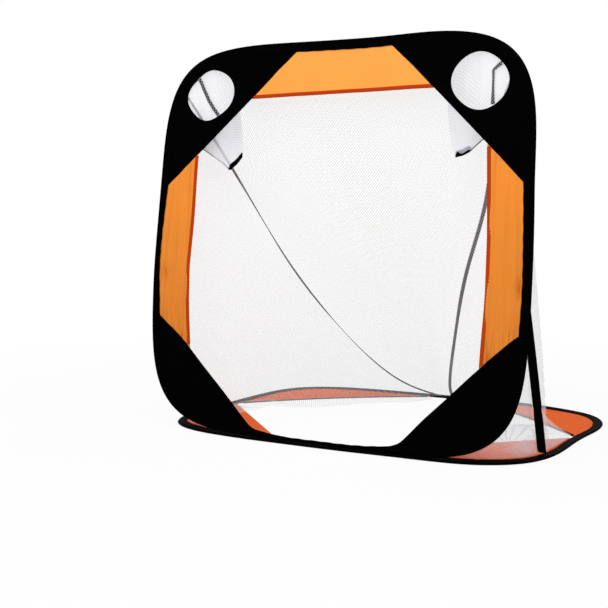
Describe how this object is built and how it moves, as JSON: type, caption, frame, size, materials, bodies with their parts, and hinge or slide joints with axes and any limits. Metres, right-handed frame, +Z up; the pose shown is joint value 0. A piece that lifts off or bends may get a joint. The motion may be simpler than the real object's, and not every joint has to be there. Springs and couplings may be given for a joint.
{
  "type": "pop-up lacrosse goal",
  "caption": "Folding practice goal of two sprung hoops in black sleeves, with orange edge panels, corner target holes with mesh pockets, and a white mesh net.",
  "frame": {"origin": "on the ground under the middle of the goal line, where the two hoops are sewn together", "axes": "+X to the goal's right across the goal line, +Y back into the goal, +Z up"},
  "size_m": [1.258, 1.0102, 1.1807],
  "materials": {
    "black_fabric": "woven polyester, faint sheen",
    "orange_fabric": "light woven nylon, satin",
    "base_orange_fabric": "woven nylon, satin",
    "red_orange_tape": "folded binding tape",
    "white_mesh": "fine knitted polyester mesh",
    "grey_tape": "woven seam tape",
    "black_webbing": "ribbed webbing",
    "spring_steel": "tempered wire"
  },
  "bodies": {
    "base_frame": {"base_hoop_wire": "spring_steel", "base_wire_ferrule": "spring_steel", "base_sleeve_front": "black_fabric", "base_sleeve_rear": "black_fabric", "base_panel_rear_right": "base_orange_fabric", "base_panel_rear_left": "base_orange_fabric", "base_panel_front_right": "base_orange_fabric", "base_panel_front_left": "base_orange_fabric", "base_seam_right": "black_fabric", "base_seam_left": "black_fabric", "net_back": "white_mesh", "net_right": "white_mesh", "net_left": "white_mesh", "seam_tape_right": "grey_tape", "seam_tape_left": "grey_tape", "strap_right": "black_webbing", "strap_left": "black_webbing"},
    "front_frame": {"front_hoop_wire": "spring_steel", "front_wire_ferrule": "spring_steel", "front_sleeve": "black_fabric", "corner_gusset_top_right": "black_fabric", "corner_gusset_top_left": "black_fabric", "corner_gusset_bottom_right": "black_fabric", "corner_gusset_bottom_left": "black_fabric", "top_panel": "orange_fabric", "side_panel_right": "orange_fabric", "side_panel_left": "orange_fabric", "top_panel_binding": "red_orange_tape", "side_binding_right": "red_orange_tape", "side_binding_left": "red_orange_tape", "pocket_facing_right": "black_fabric", "pocket_facing_left": "black_fabric", "pocket_net_right": "white_mesh", "pocket_net_left": "white_mesh", "pocket_hem_right": "black_fabric", "pocket_hem_left": "black_fabric"}
  },
  "joints": [
    {"name": "front_frame_fold", "type": "hinge", "parent": "base_frame", "child": "front_frame", "pos_m": [0, 0, 0.0137], "axis": [-1, 0, 0], "range_deg": [0, 80], "stiffness_Nm_per_rad": 4, "springref_deg": -34.38, "deforming": ["net_back", "net_right", "net_left", "seam_tape_right", "seam_tape_left", "strap_right", "strap_left", "pocket_net_right", "pocket_net_left", "pocket_hem_right", "pocket_hem_left"]}
  ]
}
